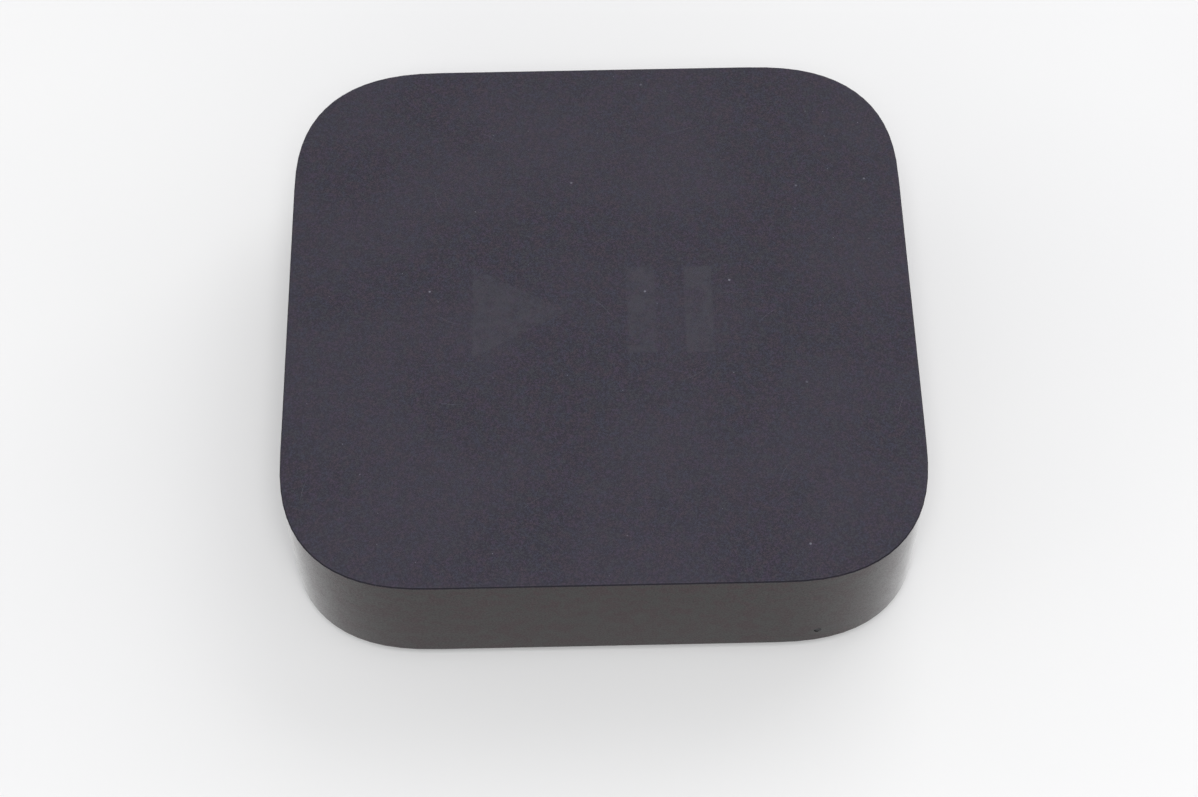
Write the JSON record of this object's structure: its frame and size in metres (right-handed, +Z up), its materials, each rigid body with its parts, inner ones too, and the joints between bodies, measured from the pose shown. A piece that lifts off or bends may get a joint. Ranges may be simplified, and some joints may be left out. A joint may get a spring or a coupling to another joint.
{
  "type": "streaming media player",
  "caption": "Low square media player with rounded corners, matte top, gloss sides, a recessed base on a rubber foot, and rear sockets, the optical one behind a sprung shutter.",
  "frame": {"origin": "centre of the foot's underside, on the table", "axes": "+Z up, front wall at -Y, socket wall at +Y, +X to the right seen from the front"},
  "size_m": [0.098, 0.098, 0.023],
  "materials": {
    "case_plastic": "matte top face and gloss side band, one moulding",
    "base_plastic": "satin",
    "foot_rubber": "matte",
    "plate_aluminium": "brushed sheet",
    "screw_steel": "zinc plated",
    "board_green": "solder mask over glass fibre",
    "board_tan": "bare resin laminate",
    "insulator_sheet": "matte film",
    "socket_plastic": "satin",
    "pin_brass": "nickel over brass",
    "shell_steel": "plated sheet",
    "contact_gold": "gold plated",
    "shutter_plastic": "satin",
    "spring_steel": "bright wire",
    "pin_steel": "blackened steel",
    "emitter_red": "clear red lens",
    "chip_epoxy": "moulded epoxy",
    "pad_silicone": "soft silicone",
    "can_tin": "tinned sheet",
    "small_ceramic": "fired ceramic",
    "small_resistor": "fired film",
    "crystal_can": "seam-welded lid",
    "connector_nylon": "natural nylon",
    "fuse_plastic": "satin",
    "choke_ferrite": "ferrite ring under copper turns",
    "film_yellow": "boxed film capacitor",
    "can_sleeve": "shrink sleeve over aluminium",
    "core_ferrite": "ferrite",
    "winding_tape": "polyester tape",
    "disc_blue": "dipped disc",
    "can_green": "shrink sleeve over aluminium",
    "wire_red": "insulated wire",
    "led_white": "white chip lens",
    "pipe_smoke": "smoked acrylic",
    "receiver_dark": "dark tinted resin",
    "ribbon_amber": "polyimide film",
    "cable_black": "fluoropolymer jacket"
  },
  "bodies": {
    "player": {"upper_case": "case_plastic", "lower_case": "base_plastic", "foot_pad": "foot_rubber", "heat_plate": "plate_aluminium", "heat_plate_screws": "screw_steel", "logic_board": "board_green", "logic_board_screws": "screw_steel", "power_board": "board_tan", "power_board_screws": "screw_steel", "power_insulator": "insulator_sheet", "power_inlet": "socket_plastic", "power_inlet_pins": "pin_brass", "video_port_shell": "shell_steel", "video_port_tongue": "socket_plastic", "video_port_contacts": "contact_gold", "service_port_shell": "shell_steel", "service_port_tongue": "socket_plastic", "network_port_housing": "socket_plastic", "network_port_shield": "shell_steel", "network_port_contacts": "contact_gold", "optical_housing": "socket_plastic", "shutter_pin": "pin_steel", "shutter_spring": "spring_steel", "optical_emitter": "emitter_red", "processor": "chip_epoxy", "thermal_pad": "pad_silicone", "flash_memory": "chip_epoxy", "power_manager": "chip_epoxy", "wireless_module": "can_tin", "shield_can": "can_tin", "network_transformer": "chip_epoxy", "logic_small_parts": "small_ceramic", "logic_inductors": "chip_epoxy", "clock_crystal": "crystal_can", "logic_harness_socket": "connector_nylon", "ribbon_socket": "connector_nylon", "fuse": "fuse_plastic", "input_choke": "choke_ferrite", "noise_capacitor": "film_yellow", "bridge_rectifier": "chip_epoxy", "bulk_capacitor": "can_sleeve", "transformer_core": "core_ferrite", "transformer_winding": "winding_tape", "safety_capacitor": "disc_blue", "output_capacitors": "can_green", "output_inductor": "core_ferrite", "power_controller": "chip_epoxy", "power_small_parts": "small_resistor", "power_harness_socket": "connector_nylon", "harness_wires": "wire_red", "harness_plugs": "connector_nylon", "indicator_board": "board_green", "status_light": "led_white", "light_pipe": "pipe_smoke", "infrared_receiver": "receiver_dark", "indicator_ribbon": "ribbon_amber", "antennas": "board_green", "antenna_cables": "cable_black", "antenna_plugs": "contact_gold"},
    "shutter": {"optical_shutter": "shutter_plastic"}
  },
  "joints": [
    {"name": "shutter_hinge", "type": "hinge", "parent": "player", "child": "shutter", "pos_m": [-0.0095, 0.0464, 0.0165], "axis": [-1, 0, 0], "range_deg": [0, 82], "stiffness_Nm_per_rad": 0.00005, "springref_deg": -17.19, "deforming": ["shutter_spring"]}
  ]
}
